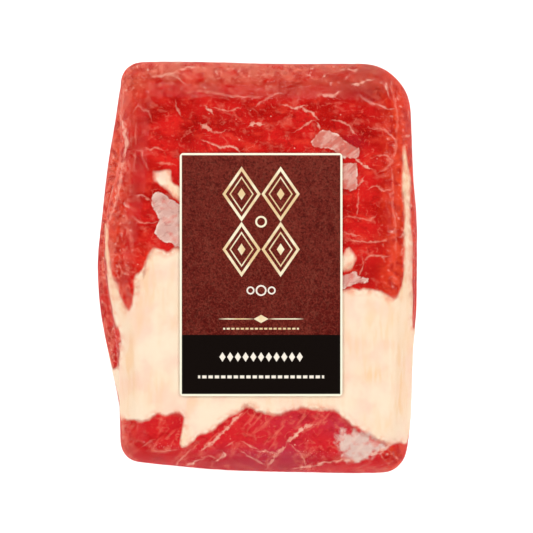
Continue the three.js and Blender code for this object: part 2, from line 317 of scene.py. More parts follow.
VEINS: list[Vein] = [
    Vein([(-51.3, 93.6), (-44.9, 95), (-41.7, 95.7), (-36.9, 98.4), (-32.1, 99.5), (-28.9, 99)], 0.57, 0.6),
    Vein([(-41.7, 94.5), (-38.5, 92.8), (-35.8, 90.4)], 0.42),
    Vein([
        (-34.8, 85.6), (-31, 86.7), (-27.3, 86.7), (-20.9, 85.9), (-15.6, 84.8), (-8.6, 83.5), (1, 84),
    ], 0.4, 0.4),
    Vein([(-60.9, 76.6), (-58.8, 80.3), (-56.1, 76.6), (-53.9, 78.2), (-52.4, 73.4)], 0.26),
    Vein([(-59.5, 70.7), (-60.3, 64.8), (-59.8, 60.4)], 0.22, 0.5),
    Vein([(-60.1, 56.7), (-60.6, 52), (-60.3, 48.3)], 0.24, 0.5),
    Vein([(-58.8, 57.4), (-56.6, 57.4), (-56.1, 53.1), (-53.9, 49.4)], 0.26),
    Vein([(-40.1, 80.9), (-39.5, 77.7), (-38, 75.5)], 0.31),
    Vein([(-25, 78.6), (-22.6, 76.2)], 0.52),
    Vein([(-20.9, 78.2), (-17.2, 77.1), (-12.9, 76.6), (-9, 78)], 0.31),
    Vein([(-23, 67), (-19.3, 65.9), (-16.1, 67)], 0.36),
    Vein([(-26.2, 62.2), (-22.5, 61.1), (-18.3, 59), (-13.4, 59.5), (-10.8, 59), (-8.6, 56.9)], 0.47),
    Vein([(-55, 59), (-52.4, 57.4), (-50.2, 59), (-47, 58)], 0.24),
    Vein([(-48.1, 51), (-44, 51.2), (-41.2, 50.5)], 0.7, 0.1),
    Vein([(-26.8, 69.8), (-24.6, 68.6), (-22.4, 67.2)], 1.2, 0.4),
    Vein([(-3, 69.6), (-0.5, 70.8), (2, 70.4)], 1.3, 0.5),
    Vein([(-59.3, 35), (-56.6, 35.5), (-53.4, 33.4)], 0.31),
    Vein([(-60.9, 25.4), (-59.3, 22.2), (-54.5, 21.7), (-49.2, 22.2)], 0.26),
    Vein([(-66.2, 88), (-66.7, 81.9), (-67.8, 76.6), (-67.2, 71)], 0.8, 0.1),
    Vein([(-67.8, 74.6), (-66.7, 70.2), (-65.7, 67), (-64.6, 63.8), (-64.9, 59.5), (-65.4, 56)], 1.1, 0.5),
    Vein([
        (-64.9, 59.5), (-65.7, 55.2), (-67.3, 46.7), (-68.9, 35), (-71.5, 27), (-74.5, 21), (-75, 10),
        (-74, 0),
    ], 0.7, 0.35),
    Vein([(0, 79.8), (2.1, 80.9), (5.8, 83.8), (9.6, 85.6), (13.3, 85.4)], 0.31),
    Vein([(12.8, 79.8), (16, 79.2), (18.6, 77.7), (22.9, 79.2)], 0.52),
    Vein([(22, 78.3), (24.5, 77.1), (27.7, 75.5), (29.3, 73.4)], 0.47),
    Vein([(19.1, 67), (21.3, 68.6), (27.7, 71.8)], 0.36),
    Vein([(29.3, 70.7), (30.9, 68)], 0.42),
    Vein([(48.5, 53.1), (50.6, 51), (54.9, 48.9)], 0.62),
    Vein([(37.8, 72.3), (41.6, 71.8), (44.8, 70.2), (46.3, 67.5), (47.9, 65.9)], 0.36),
    Vein([(46.9, 90.4), (50.1, 90.4), (53.8, 92), (56.2, 92.5)], 0.72, 0.65),
    Vein([(29.8, 84.6), (33, 85.1), (36.2, 83.5), (40.5, 86.2)], 0.7, 0.6),
    Vein([(41.6, 97.4), (44.8, 97.9), (48.5, 96.8)], 0.6, 0.6),
    Vein([(51.1, 84), (53.8, 81.9), (57.5, 80.3), (61.8, 79.2), (65, 77.7)], 0.36),
    Vein([(63.4, 91), (65, 84.6)], 0.47),
    Vein([
        (65.5, 89.9), (68.2, 81.4), (69.3, 72.3), (68.7, 61.6), (67.1, 53.1), (63.4, 48.3), (60.2, 46.7),
    ], 0.5, 0.1),
    Vein([(66.1, 48.3), (67.1, 40.3), (66.6, 33.4), (67.1, 27), (68.2, 20), (68, 8)], 0.5, 0.1),
    Vein([(55.4, 68.6), (61.8, 68), (66.1, 65.4), (68, 62)], 0.26),
    Vein([(59.2, 54.7), (63.4, 55.8), (66.1, 52.6)], 0.31),
    Vein([(49, 39.3), (52.2, 43.5)], 0.42),
    Vein([(55.4, 38.7), (59.2, 40.8), (60.7, 37.7), (65.5, 38.2)], 0.31),
    Vein([(50.1, 36.1), (49.6, 31), (49, 26.5)], 0.26),
    Vein([(42.6, 23.8), (45.8, 25.4), (50.1, 24.3), (55.4, 22.2), (58.1, 24.9)], 0.3, 0.5),
    Vein([(43.7, 16.5), (45.8, 15.7), (50.1, 15.4)], 0.26),
    Vein([(46.3, 13.3), (51.1, 12.7), (55.4, 11.7), (60.2, 12.7), (63.4, 13.3)], 0.31),
    Vein([(53.3, 3.7), (55.4, 5.3), (58.6, 5.8), (61.8, 5), (63.9, 5.3)], 0.5, 0.5),
    Vein([(51.7, 3.1), (52.2, -0.6), (50.1, -3.8)], 0.26),
    Vein([(-40.8, -99), (-37.8, -94), (-34.2, -91.5), (-30.2, -88)], 0.42, 0.5),
    Vein([
        (-27.3, -90), (-24.2, -87.5), (-20.2, -84.5), (-16.7, -81.5), (-14.2, -78), (-11.2, -75.4),
        (-8.2, -72.4),
    ], 0.8, 0.55),
    Vein([(-34.5, -98.2), (-28.2, -95)], 0.62),
    Vein([(-20.2, -95.5), (-15.7, -93), (-16.7, -91.5)], 0.52),
    Vein([(-27.3, -95), (-23.7, -92.5), (-20.7, -94)], 0.26),
    Vein([(-6.7, -86), (-3.2, -88), (-0.2, -89.5)], 0.31),
    Vein([(-7.7, -90.5), (-4.6, -93), (0.4, -95.5), (2.9, -97)], 0.31),
    Vein([(-50.8, -90), (-44.8, -90.7), (-39.8, -90)], 0.26),
    Vein([(-55.8, -88), (-52.3, -85.5)], 0.26),
    Vein([(-14.7, -88), (-12.2, -86.5)], 0.36),
    Vein([
        (27.5, -77.5), (22.9, -79), (19.9, -81.5), (16.9, -84), (14.4, -86.5), (11.9, -90), (8.9, -93),
        (5, -98.5),
    ], 0.95, 0.35),
    Vein([(23.5, -78.8), (20.5, -81), (18, -83.4)], 0.75, 0.7),
    Vein([(0.4, -90.5), (5.9, -90.5), (8.9, -91.5)], 0.36),
    Vein([(43, -95.4), (50, -94.8), (56, -92.4), (62, -89.2), (66, -87.4)], 0.8, 0.7),
    Vein([(18, -99.8), (23.9, -98.5), (29.4, -97.5), (33.4, -96.3), (39.5, -95.5), (44.5, -94)], 0.6, 0.7),
    Vein([(16.4, -87.5), (20.4, -90.5), (22.9, -94.5), (23.9, -97.5)], 0.26),
    Vein([(61, -93), (64.5, -97)], 0.26),
    Vein([(65, -90.5), (69.6, -95)], 0.26),
]
# Painted shade: soft brownish shadow along the lines where the fat's edge meets the muscle.
PAINTED_EDGE_SHADOWS: list[Vein] = [
    Vein([(42.2, -74.6), (45.6, -78), (49.5, -81), (54.4, -83), (60.4, -85.6), (63.8, -88)], 0.8),
    Vein([(-36.6, -88.2), (-33.5, -89.2), (-30, -86.6), (-26.5, -84.6)], 0.7),
    Vein([(-6.8, -68.6), (-4.5, -67.8), (-2.6, -69.2)], 0.7),
    Vein([(2, -71.2), (8, -72.6), (13, -72.8), (17, -70.6)], 0.6),
    Vein([(20, -69.4), (26, -69.2), (32, -69.6), (38, -71.2)], 0.45),
    Vein([(-60, -75.2), (-54, -75.4), (-49, -72.4)], 0.35),
    Vein([(-45, -73.2), (-40, -72.2), (-37.4, -73.4)], 0.5),
    Vein([(-56, -4.5), (-55, 1), (-53.2, 6), (-50.5, 9.6)], 0.35),
    Vein([(37, 33), (40, 36.4), (44, 36)], 0.4),
    Vein([(-64.5, -8), (-62.8, -14), (-61.8, -19)], 0.4),
    Vein([(-46.8, 33.2), (-43.6, 35), (-42, 33.6)], 1.1),
]
# Tones of the red, brighter above 0 and deeper below; the spot at (60, 20) is painted shadow, a dark band
# along the right shoulder.
SHADES: list[Spot] = [
    Spot((-40, 72), (8, 4), 0.9), Spot((-34, 63), (5, 8), -0.7), Spot((-52, 76), (10, 8), -0.4),
    Spot((20, 88), (40, 8), -0.35), Spot((55, 88), (14, 8), -0.5), Spot((52, 68), (12, 8), -0.6),
    Spot((-46, 60), (8, 8), 0.3), Spot((-44, 53), (8, 4), 0.7), Spot((-60, 45), (4, 18), -0.4),
    Spot((-50, 5), (8, 10), 0.3), Spot((-64, -8), (5, 12), -0.1), Spot((57, 30), (9, 12), 0.35),
    Spot((56, -4), (8, 7), -0.7), Spot((64, -4), (5, 10), 0.5), Spot((70, 55), (3, 30), 0.6),
    Spot((-52, -82), (12, 6), 0.3), Spot((-62, -92), (8, 6), -0.4), Spot((-8, -84), (9, 9), 0.25),
    Spot((34, -84), (9, 8), 0.1), Spot((4, 66), (22, 6), 0.2), Spot((-20, 72), (12, 5), -0.5),
    Spot((-4, -97), (30, 5), -0.5), Spot((60, 20), (4, 30), -0.4), Spot((-66, 40), (3, 40), 0.3),
]
BLUSHES: list[Spot] = [
    Spot((0, -94), (26, 7), 0.8), Spot((18, -76), (22, 7), 0.5), Spot((40, -78), (7, 6), 0.6),
    Spot((16, -92), (8, 7), 0.5), Spot((46, 61), (6, 4), 0.3),
]
FAT_WARMTH: list[Spot] = [
    Spot((-63, -48), (3, 18), 0.9), Spot((-68, -68), (5, 8), 0.9), Spot((70, -52), (2.5, 14), 0.8),
    Spot((56, -53), (9, 4), 0.9), Spot((72, -68), (4, 9), 0.8), Spot((50, -38), (10, 8), 0.4),
    Spot((71, 35), (6, 60), 1.1), Spot((-74, 20), (7, 40), 0.9), Spot((-70, 60), (4, 40), 1.0),
    Spot((-64, 86), (8, 16), 0.6), Spot((66, -6), (5, 8), 0.8), Spot((0, 97), (70, 6), 0.3),
    Spot((-50, -60), (8, 10), 0.4), Spot((20, -66), (30, 3), 0.3), Spot((-54, 2), (5, 8), 0.5),
    Spot((-50, -12), (7, 7), 0.5), Spot((64, -30), (9, 8), 0.5),
]


class Node(Enum):
    """The CAD nodes that the pieces stand for or dress."""

    MEAT = "meat"
    LABEL = "label"


class VeinSet(Enum):
    """The sets that the veins are dealt out to, so that neighbours don't hide one another."""

    FIRST = "veins_first"
    SECOND = "veins_second"
    THIRD = "veins_third"


class MarkShape(Enum):
    """The plain shapes that the label is printed with."""

    BAR = "bar"
    LOZENGE = "lozenge"
    RING = "ring"


# What the finishes share


def linear(hex_colour: str) -> tuple[float, float, float, float]:
    """Turns an sRGB hex colour into the linear colour that Blender's sockets hold.

    Args:
        hex_colour: the colour as "#rrggbb".

    Returns:
        Linear red, green and blue, and an alpha of 1.
    """
    parts = [int(hex_colour[i : i + 2], 16) / 255 for i in (1, 3, 5)]
    red, green, blue = (c / 12.92 if c <= 0.04045 else ((c + 0.055) / 1.055) ** 2.4 for c in parts)
    return red, green, blue, 1.0


def per_mm(size: float) -> float:
    """Gives the texture scale whose features are one size, in millimetres, on coordinates in metres."""
    return 1 / (size * MM)


def metres(span: Place) -> Place:
    """Turns a pair of lengths from millimetres to metres."""
    return span[0] * MM, span[1] * MM


@dataclass(frozen=True)
class Canvas:
    """A material being built, and the coordinates in metres that its patterns are drawn on."""

    material: bpy.types.Material
    place: Feed | None = None

    def add(self, kind: str, feeds: Any = (), **settings: Any) -> bpy.types.Node:
        """Adds a node with its settings and feeds its inputs.

        Args:
            kind: the node's type, as Blender names it after ShaderNode.
            feeds: what its inputs take, in their order or by name or number: a value, or the output that is
                linked there. A node stands for its first output.
            settings: properties of the node itself.

        Returns:
            The new node.
        """
        tree = self.material.node_tree
        node = tree.nodes.new("ShaderNode" + kind)
        for name, value in settings.items():
            setattr(node, name, value)
        for name, value in feeds.items() if isinstance(feeds, dict) else enumerate(feeds):
            if isinstance(value, bpy.types.Node):
                value = value.outputs[0]
            if isinstance(value, bpy.types.NodeSocket):
                tree.links.new(value, node.inputs[name])
            else:
                node.inputs[name].default_value = value
        return node

    def finish(self, shader: bpy.types.Node) -> bpy.types.Material:
        """Makes a shader the material's surface and returns the material."""
        self.add("OutputMaterial", {"Surface": shader})
        return self.material

    def stored(self, name: str) -> tuple[Feed, Feed, Feed]:
        """Reads the three numbers that each point of the mesh holds under a name."""
        vector = self.add("Attribute", attribute_name=name).outputs["Vector"]
        return tuple(self.add("SeparateXYZ", (vector,)).outputs)

    def stretched(self, *scale: float) -> "Canvas":
        """Returns the same canvas, its patterns drawn out along X, Y or Z where that scale is below 1."""
        return replace(self, place=self.add("Mapping", {"Vector": self.place, "Scale": scale}))

    def tint(self, under: Feed | str, masks: Feed | tuple, colour: Feed | str,
             strength: float = 1.0) -> Feed:
        """Lays a colour over another where a mask says.

        Args:
            under: the colour below, as sRGB hex or an output.
            masks: where the new colour shows, from 0 to 1, or several such masks that are multiplied.
            colour: the new colour, as sRGB hex or an output.
            strength: how much of it shows where the masks are full.

        Returns:
            The mixed colour.
        """
        for mask in masks if isinstance(masks, tuple) else (masks,):
            strength = self.add("Math", (mask, strength), operation="MULTIPLY", use_clamp=True)
        low, high = (linear(c) if isinstance(c, str) else c for c in (under, colour))
        return self.add("Mix", {0: strength, 6: low, 7: high}, data_type="RGBA").outputs[2]

    def lay(self, under: Feed | str, *layers: tuple) -> Feed:
        """Lays several colours over another in turn, each given as tint takes it.

        Args:
            under: the colour below, as sRGB hex or an output.
            layers: for each, its masks, its colour and its strength.

        Returns:
            The mixed colour.
        """
        for layer in layers:
            under = self.tint(under, *layer)
        return under

    def patches(self, size: float, start: float, end: float, detail: float = 3.0, reach: Place = (0.0, 1.0),
                curve: str = "SMOOTHSTEP") -> Feed:
        """Makes soft irregular patches.

        Args:
            size: how wide a patch is, in millimetres.
            start: the noise level where a patch starts.
            end: the level where it is full.
            detail: how many finer layers the noise has.
            reach: the numbers between the patches and in them.
            curve: how the number rises, as Blender names it.

        Returns:
            The number at each point.
        """
        cloud = self.add("TexNoise", {"Vector": self.place, "Scale": per_mm(size), "Detail": detail})
        return self.add("MapRange", (cloud, start, end, *reach), interpolation_type=curve)

    def wisps(self, size: float, width: float, cover: float, turn: float, stretch: float,
              detail: float = 3.0) -> Feed:
        """Draws thin broken curving lines.

        Args:
            size: how far apart the lines are, in millimetres.
            width: how wide they are, as a share of the noise they follow.
            cover: the noise level above which they show; a higher one leaves fewer.
            turn: the direction they tend to, in radians from +X.
            stretch: how much they are drawn out that way; 1 leaves them even.
            detail: how many finer layers bend them.

        Returns:
            A mask from 0 between the lines to 1 on them.
        """
        turned = self.add("Mapping", {"Vector": self.place, "Rotation": (0.0, 0.0, turn)})
        place = self.add("VectorMath", (turned, (stretch, 1.0, 1.0)), operation="MULTIPLY")
        drawn = replace(self, place=place)
        cloud = self.add("TexNoise", {"Vector": place, "Scale": per_mm(size), "Detail": detail})
        level = self.add("Math", (cloud, 0.5), operation="SUBTRACT")
        away = self.add("Math", (level,), operation="ABSOLUTE")
        line = self.add("MapRange", (away, 0.0, width, 1.0, 0.0))
        shown = drawn.patches(size * 0.8, cover, cover + 0.12, 2)
        return self.add("Math", (line, shown), operation="MULTIPLY")

    def ragged(self, depth: Feed, waves: list[tuple[float, float]], blur: float) -> Feed:
        """Turns the distance inside an outline into a mask with a natural, uneven edge.

        Args:
            depth: the distance inside the outline, in millimetres.
            waves: the size of each layer of unevenness and how far it moves the edge, in millimetres.
            blur: half the width of the soft edge, in millimetres.

        Returns:
            A mask from 0 outside to 1 inside.
        """
        for size, reach in waves:
            shift = self.patches(size, 0.25, 0.75, 2.0, (-reach, reach), "LINEAR")
            depth = self.add("Math", (depth, shift), operation="ADD")
        return self.add("MapRange", (depth, -blur, blur), interpolation_type="SMOOTHSTEP")


def new_canvas(name: str) -> Canvas:
    """Starts a material, with its patterns on Object coordinates.

    Args:
        name: the material's name.

    Returns:
        Its canvas.
    """
    material = bpy.data.materials.new(name)
    material.use_nodes = True
    material.node_tree.nodes.clear()
    blank = Canvas(material)
    return replace(blank, place=blank.add("TexCoord").outputs["Object"])


# Finishes


@dataclass(frozen=True)
class RawBeef:
    """Raw beef with its fat, cut and pressed flat.

    The muscle is moist and red with a fine grain. Thin pale veins in it break up at their ends. The fat is
    firm and cream, and yellows and reddens where it meets the muscle. The film lies on the meat with no air
    between, so the meat has no gloss of its own. A span is where a change starts and where it is full, in
    millimetres, from the middle of the block or inwards from an outline.
    """

    muscle_dark: str = "#980e0b"
    muscle: str = "#b41916"
    muscle_light: str = "#c33324"
    muscle_bright: str = "#c5201a"
    muscle_deep: str = "#770807"
    muscle_orange: str = "#cb3e21"
    near_muscle: str = "#b62027"
    # painted reflection: the pale sheen over the far end, and its browner right-hand side
    painted_sheen: str = "#c0735a"
    painted_sheen_brown: str = "#a95f4a"
    blush: str = "#963043"
    fibre: str = "#cd6c58"
    vein_thin: str = "#cc7560"
    vein_thick: str = "#d7baa4"
    skin: str = "#b55a4c"
    skin_grey: str = "#bca398"
    # the sinew's own pale streaks, and its painted highlights
    skin_streak_and_highlight: str = "#d5bcad"
    skin_line: str = "#96675f"
    # painted shade along the fat's edge
    painted_edge_shadow: str = "#85463a"
    fat: str = "#d9c4ac"
    fat_yellow: str = "#d7ad84"
    fat_pink: str = "#d7b09d"
    fat_edge: str = "#cf8870"
    fat_brown: str = "#a47058"
    roughness: float = 0.42
    grain: float = 1.6
    grain_depth: float = 0.25
    swell: float = 7.0
    # where the painted sheen over the far end starts and where it is full
    painted_sheen_span: Place = (82.0, 103.0)
    right_span: Place = (10.0, 50.0)
    edge_span: Place = (59.0, 66.0)
    end_span: Place = (76.0, 94.0)
    fat_rim: Place = (0.3, 3.5)
    # where the painted highlight along the sinew's rim lies, inwards from its edge
    skin_highlight_span: Place = (0.3, 1.1)
    skin_line_span: Place = (-1.6, -0.2)
    crisp_blur: float = 0.6
    fleck_gap: float = 6.0
    fleck_span: Place = (0.03, 0.08)
    vein_blur: Place = (-0.5, 0.65)
    vein_bend: Place = (-0.85, 0.85)
    vein_swell: Place = (-0.1, 1.6)

    def build(self) -> bpy.types.Material:
        """Builds the material and returns it."""
        canvas = new_canvas("beef, raw, cut and pressed")
        drawn = canvas.stretched(1.0, 1.0, 0.4)
        colour = self.muscle_colour(drawn)
        # The last layer is the painted shade along the fat's edge.
        for lay in (self.vein_colour, self.fat_colour, self.skin_colour, self.painted_edge_shadow_colour):
            colour = lay(drawn, colour)
        fine, coarse = (
            canvas.add("TexNoise", {"Vector": canvas.place, "Scale": per_mm(size), "Detail": detail})
            for size, detail in ((self.grain, 3.0), (self.swell, 2.0))
        )
        relief = canvas.add("Math", (coarse, 3.0, fine), operation="MULTIPLY_ADD")
        bump = canvas.add("Bump", {"Height": relief, "Strength": 0.5, "Distance": self.grain_depth * MM})
        return canvas.finish(canvas.add("BsdfPrincipled", {
            "Base Color": colour, "Roughness": self.roughness, "Specular IOR Level": 0.0, "Normal": bump}))

    def muscle_colour(self, canvas: Canvas) -> Feed:
        """Mixes the muscle's red, with a painted reflection over the far end and lengthwise strands at the
        sides.

        Args:
            canvas: the material's canvas.

        Returns:
            The colour.
        """
        shade, blush, warmth = canvas.stored("tints")
        across, along, _ = canvas.add("SeparateXYZ", (canvas.place,)).outputs
        near_depth = canvas.add("Attribute", attribute_name="near_depth").outputs["Fac"]
        near = canvas.ragged(near_depth, [(6, 1.5)], 1.0)
        drawn = canvas.stretched(0.6, 1.1, 1.0)
        deep = canvas.add("Math", (shade, -1.0), operation="MULTIPLY")
        base = canvas.lay(
            self.muscle_dark,
            (drawn.patches(9, 0.36, 0.6, 6), self.muscle),
            (drawn.patches(5, 0.5, 0.72, 6), self.muscle_light, 0.7),
            (near, self.near_muscle, 0.6),
            (shade, self.muscle_bright, 0.8),
            (deep, self.muscle_deep, 0.7),
            (blush, self.blush, 0.65),
            (warmth, self.muscle_orange, 0.65),
        )
        # Painted reflection: a pale sheen over the far end, browner towards the right, standing in for light
        # on the film.
        painted_sheen_mask = canvas.add("MapRange", (along, *metres(self.painted_sheen_span)))
        to_right = canvas.add("MapRange", (across, *metres(self.right_span)))
        painted_sheen = canvas.tint(self.painted_sheen, to_right, self.painted_sheen_brown)
        base = canvas.tint(base, (painted_sheen_mask, drawn.patches(6, 0.3, 0.58, 6)), painted_sheen, 0.7)

        side = canvas.add("Math", (across,), operation="ABSOLUTE")
        edge = canvas.add("MapRange", (side, *metres(self.edge_span)))
        end = canvas.add("MapRange", (along, *metres(self.end_span), 0.0, 0.8))
        rim = canvas.add("Math", (edge, end), operation="MAXIMUM")
        calm = canvas.add("MapRange", (shade, 0.0, 1.0, 1.0, 0.35))
        base = self.fibre_colour(canvas, base, near, edge, calm, to_right)
        ridge = canvas.tint(self.vein_thin, to_right, self.muscle_orange)
        for size, start, stain, strength in (
            (4, 0.48, self.muscle_dark, 0.75), (2.4, 0.54, ridge, 0.6), (3.2, 0.6, self.vein_thick, 0.5)
        ):
            base = canvas.tint(base, (canvas.patches(size, start, start + 0.14, 5), rim), stain, strength)
        return base

    def fibre_colour(self, canvas: Canvas, under: Feed, near: Feed, edge: Feed, calm: Feed,
                     to_right: Feed) -> Feed:
        """Lays dark creases, fine pale wisps, grain and flecks over the red.

        Args:
            canvas: the material's canvas.
            under: the red below.
            near: where the nearer muscle lies, whose fibres run aslant, from 0 to 1.
            edge: where the left and right sides lie, whose fibres run along the block, from 0 to 1.
            calm: how much of the pale wisps shows, from 0 to 1.
            to_right: 0 at the left, where fibres are pale, to 1 at the right, where they are orange.

        Returns:
            The colour.
        """
        colour = canvas.lay(
            under,
            (canvas.wisps(9, 0.05, 0.46, 0.2, 0.7), self.muscle_deep, 0.45),
            (canvas.patches(1.7, 0.52, 0.72), self.muscle_dark, 0.35),
            (canvas.patches(1.3, 0.56, 0.74), self.muscle_light, 0.6),
        )
        for size, width, cover, turn, strength in (
            (7, 0.07, 0.52, 0.25, 0.32), (5, 0.035, 0.54, -0.5, 0.36), (3.4, 0.06, 0.58, 1.1, 0.33)
        ):
            lines = canvas.wisps(size, width, cover, turn, 0.7, 5)
            colour = canvas.tint(colour, (lines, calm), self.fibre, strength)
        slant = canvas.wisps(6, 0.06, 0.46, math.radians(-48), 0.3)
        colour = canvas.tint(colour, (slant, near), self.fibre, 0.4)
        strands = canvas.tint(self.fibre, to_right, self.muscle_orange)
        for size, width, cover, stretch, strength in (
            (5, 0.1, 0.4, 0.3, 0.5), (3, 0.05, 0.48, 0.5, 0.8), (2.2, 0.06, 0.52, 0.6, 0.7)
        ):
            lines = canvas.wisps(size, width, cover, math.radians(80), stretch, 5)
            colour = canvas.tint(colour, (lines, edge), strands, strength)
        dots = canvas.add("TexVoronoi", {"Vector": canvas.place, "Scale": per_mm(self.fleck_gap)})
        dot = canvas.add("MapRange", (dots, *self.fleck_span, 1.0, 0.0))
        return canvas.tint(colour, (dot, canvas.patches(12, 0.5, 0.6)), self.vein_thick, 0.5)

    def vein_colour(self, canvas: Canvas, under: Feed) -> Feed:
        """Lays the veins of fat over the red, whiter where they are wider.

        Args:
            canvas: the material's canvas.
            under: the colour below.

        Returns:
            The colour.
        """
        bend = canvas.patches(2.8, 0.2, 0.8, 4.0, self.vein_bend, "LINEAR")
        share = canvas.patches(2.6, 0.3, 0.7, 2.0, self.vein_swell, "LINEAR")
        colour = under
        for veins in VeinSet:
            offset, width, thick = canvas.stored(veins.value)
            aside = canvas.add("Math", (offset, bend), operation="ADD")
            away = canvas.add("Math", (aside,), operation="ABSOLUTE")
            wide = canvas.add("Math", (width, share), operation="MULTIPLY")
            depth = canvas.add("Math", (wide, away), operation="SUBTRACT")
            mask = canvas.add("MapRange", (depth, *self.vein_blur), interpolation_type="SMOOTHSTEP")
            strength = canvas.add("MapRange", (thick, 0.0, 1.0, 0.55, 1.0))
            pale = canvas.tint(self.vein_thin, thick, self.vein_thick)
            colour = canvas.tint(colour, (mask, strength), pale, 0.95)
        return colour

    def fat_colour(self, canvas: Canvas, under: Feed) -> Feed:
        """Lays the fat over the rest, streaky where it is warm, and reddish where it meets the muscle.

        Args:
            canvas: the material's canvas.
            under: the colour below.

        Returns:
            The colour.
        """
        depth = canvas.add("Attribute", attribute_name="fat_depth").outputs["Fac"]
        warmth = canvas.stored("tints")[2]
        drawn = canvas.stretched(1.0, 0.4, 1.0)
        mask = drawn.ragged(depth, [(8, 1.3), (3.2, 0.4)], 1.0)
        streaks = canvas.stretched(1.0, 0.16, 1.0).patches(2.4, 0.45, 0.62, 2)
        rim = canvas.add("MapRange", (depth, *self.fat_rim, 1.0, 0.0))
        colour = canvas.lay(
            self.fat,
            (canvas.patches(13, 0.42, 0.7, 5), self.fat_pink, 0.75),
            (drawn.patches(8, 0.48, 0.75, 5), self.fat_yellow, 0.5),
            (warmth, self.fat_yellow, 0.35),
            ((streaks, warmth), self.fat_yellow, 0.7),
            ((rim, canvas.patches(3.5, 0.4, 0.65, 4)), self.fat_edge, 0.75),
            ((rim, canvas.patches(8, 0.58, 0.7, 4)), self.fat_brown, 0.45),
        )
        return canvas.tint(under, mask, colour)

    def skin_colour(self, canvas: Canvas, under: Feed) -> Feed:
        """Lays the sinew over the rest: greyish, finely lined, with a painted rim highlight and a dark line
        round it.

        Args:
            canvas: the material's canvas.
            under: the colour below.

        Returns:
            The colour.
        """
        depth, grey, blur = canvas.stored("skins")
        reach = canvas.add("Math", (blur, 0.35), operation="ADD")
        shift = canvas.patches(3, 0.25, 0.75, 3.0, (-1.0, 1.0), "LINEAR")
        uneven = canvas.add("Math", (shift, reach, depth), operation="MULTIPLY_ADD")
        before = canvas.add("Math", (blur, -1.0), operation="MULTIPLY")
        mask = canvas.add("MapRange", (uneven, before, blur), interpolation_type="SMOOTHSTEP")
        crisp = canvas.add("Math", (blur, self.crisp_blur), operation="LESS_THAN")
        # Painted highlights: pale patches on the sinew and a pale rim just inside its edge; the pale wisps
        # are its own streaks.
        rim_highlight = canvas.add("MapRange", (uneven, *self.skin_highlight_span, 1.0, 0.0))
        fill = canvas.lay(
            self.skin,
            (grey, self.skin_grey),
            (canvas.patches(4, 0.48, 0.68, 4), self.muscle_light, 0.45),
            (canvas.patches(3, 0.5, 0.75), self.skin_streak_and_highlight, 0.4),
            (canvas.wisps(5, 0.12, 0.42, -0.7, 0.3, 2), self.skin_streak_and_highlight, 0.4),
            ((crisp, canvas.wisps(4, 0.04, 0.46, -0.5, 0.4)), self.skin_line, 0.5),
            ((rim_highlight, crisp, canvas.patches(3, 0.42, 0.62)), self.skin_streak_and_highlight, 0.95),
        )
        line = canvas.add("MapRange", (uneven, *self.skin_line_span))
        return canvas.lay(under, ((line, crisp), self.muscle_deep, 0.35), (mask, fill, 0.93))

    def painted_edge_shadow_colour(self, canvas: Canvas, under: Feed) -> Feed:
        """Lays soft brownish painted shade along the line where fat and muscle meet.

        Args:
            canvas: the material's canvas.
            under: the colour below.

        Returns:
            The colour.
        """
        offset, width, _ = canvas.stored("painted_edge_shadows")
        away = canvas.add("Math", (offset,), operation="ABSOLUTE")
        depth = canvas.add("Math", (width, away), operation="SUBTRACT")
        return canvas.tint(under, canvas.ragged(depth, [(3, 0.7), (1.2, 0.3)], 0.9), self.painted_edge_shadow, 0.36)


@dataclass(frozen=True)
class ClearFilm:
    """Cast polyethylene barrier film, drawn tight by the vacuum: colourless, with a faint gloss that grows
    towards the edge of sight, and fine creases."""

    roughness: float = 0.1
    gloss_facing: float = 0.003
    gloss_side: float = 0.004
    gloss_edge: float = 0.05
    edge_power: float = 5.0
    crease: float = 5.0
    crease_depth: float = 0.5

    def build(self) -> bpy.types.Material:
        """Builds the material and returns it."""
        canvas = new_canvas("polyethylene film, clear, vacuum drawn")
        folds = canvas.add("TexNoise", {
            "Vector": canvas.place, "Scale": per_mm(self.crease), "Detail": 3.0, "Distortion": 1.2})
        bump = canvas.add("Bump", {"Height": folds, "Strength": 0.4, "Distance": self.crease_depth * MM})
        facing = canvas.add("LayerWeight", {"Blend": 0.5, "Normal": bump}).outputs["Facing"]
        rise = canvas.add("Math", (facing, self.edge_power), operation="POWER")
        share = canvas.add("MapRange", (rise, 0.0, 1.0, self.gloss_facing, self.gloss_edge))
        wall = canvas.add("Attribute", attribute_name="wall").outputs["Fac"]
        share = canvas.add("Math", (wall, self.gloss_side, share), operation="MULTIPLY_ADD")
        gloss = canvas.add("BsdfPrincipled", {
            "Base Color": linear(WHITE), "Metallic": 1.0, "Roughness": self.roughness, "Normal": bump})
        clear = canvas.add("BsdfTransparent", {"Color": linear(WHITE)})
        return canvas.finish(canvas.add("MixShader", (share, clear, gloss)))


